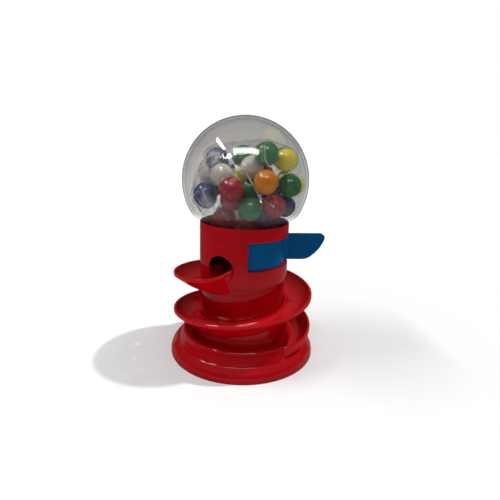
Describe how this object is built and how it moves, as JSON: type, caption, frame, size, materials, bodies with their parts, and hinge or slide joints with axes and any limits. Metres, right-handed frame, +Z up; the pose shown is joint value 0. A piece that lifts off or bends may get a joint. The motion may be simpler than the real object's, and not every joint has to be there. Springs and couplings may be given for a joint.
{
  "type": "spiral gumball machine",
  "caption": "Small gumball machine: clear globe with a bag of gumballs on a red turret, blue swinging lever, and a red trough spiralling down into a well in its round base.",
  "frame": {"origin": "on the tower's axis, on the underside of the base, at the table", "axes": "+Z up along the tower's axis, front towards -Y, lever towards +X"},
  "size_m": [0.0889, 0.084, 0.135],
  "materials": {
    "red_plastic": "glossy moulded",
    "blue_plastic": "glossy moulded",
    "clear_plastic": "clear, polished",
    "clear_film": "clear, creased",
    "screw_steel": "zinc plated",
    "candy_red": "sugar shell",
    "candy_green": "sugar shell",
    "candy_blue": "sugar shell",
    "candy_yellow": "sugar shell",
    "candy_orange": "sugar shell",
    "candy_white": "sugar shell"
  },
  "bodies": {
    "tower": {"base_cover": "red_plastic", "base_plinth": "red_plastic", "base_screws": "screw_steel", "tower_core": "red_plastic", "spiral_track": "red_plastic", "well_track": "red_plastic", "chute_floor": "red_plastic", "pivot_post": "red_plastic", "post_screw": "screw_steel", "turret_band": "red_plastic", "hopper_collar": "red_plastic", "hopper_screw": "screw_steel"},
    "rotor": {"dispensing_rotor": "blue_plastic"},
    "globe": {"globe_shell": "clear_plastic", "candy_bag": "clear_film", "gumballs_red": "candy_red", "gumballs_green": "candy_green", "gumballs_blue": "candy_blue", "gumballs_yellow": "candy_yellow", "gumballs_orange": "candy_orange", "gumballs_white": "candy_white"}
  },
  "joints": [
    {"name": "rotor_swing", "type": "hinge", "parent": "tower", "child": "rotor", "pos_m": [0, 0, 0.0625], "axis": [0, 0, 1], "range_deg": [-72, 0]},
    {"name": "globe_lift", "type": "slide", "parent": "tower", "child": "globe", "axis": [0, 0, 1], "range_m": [0, 0.01]}
  ]
}
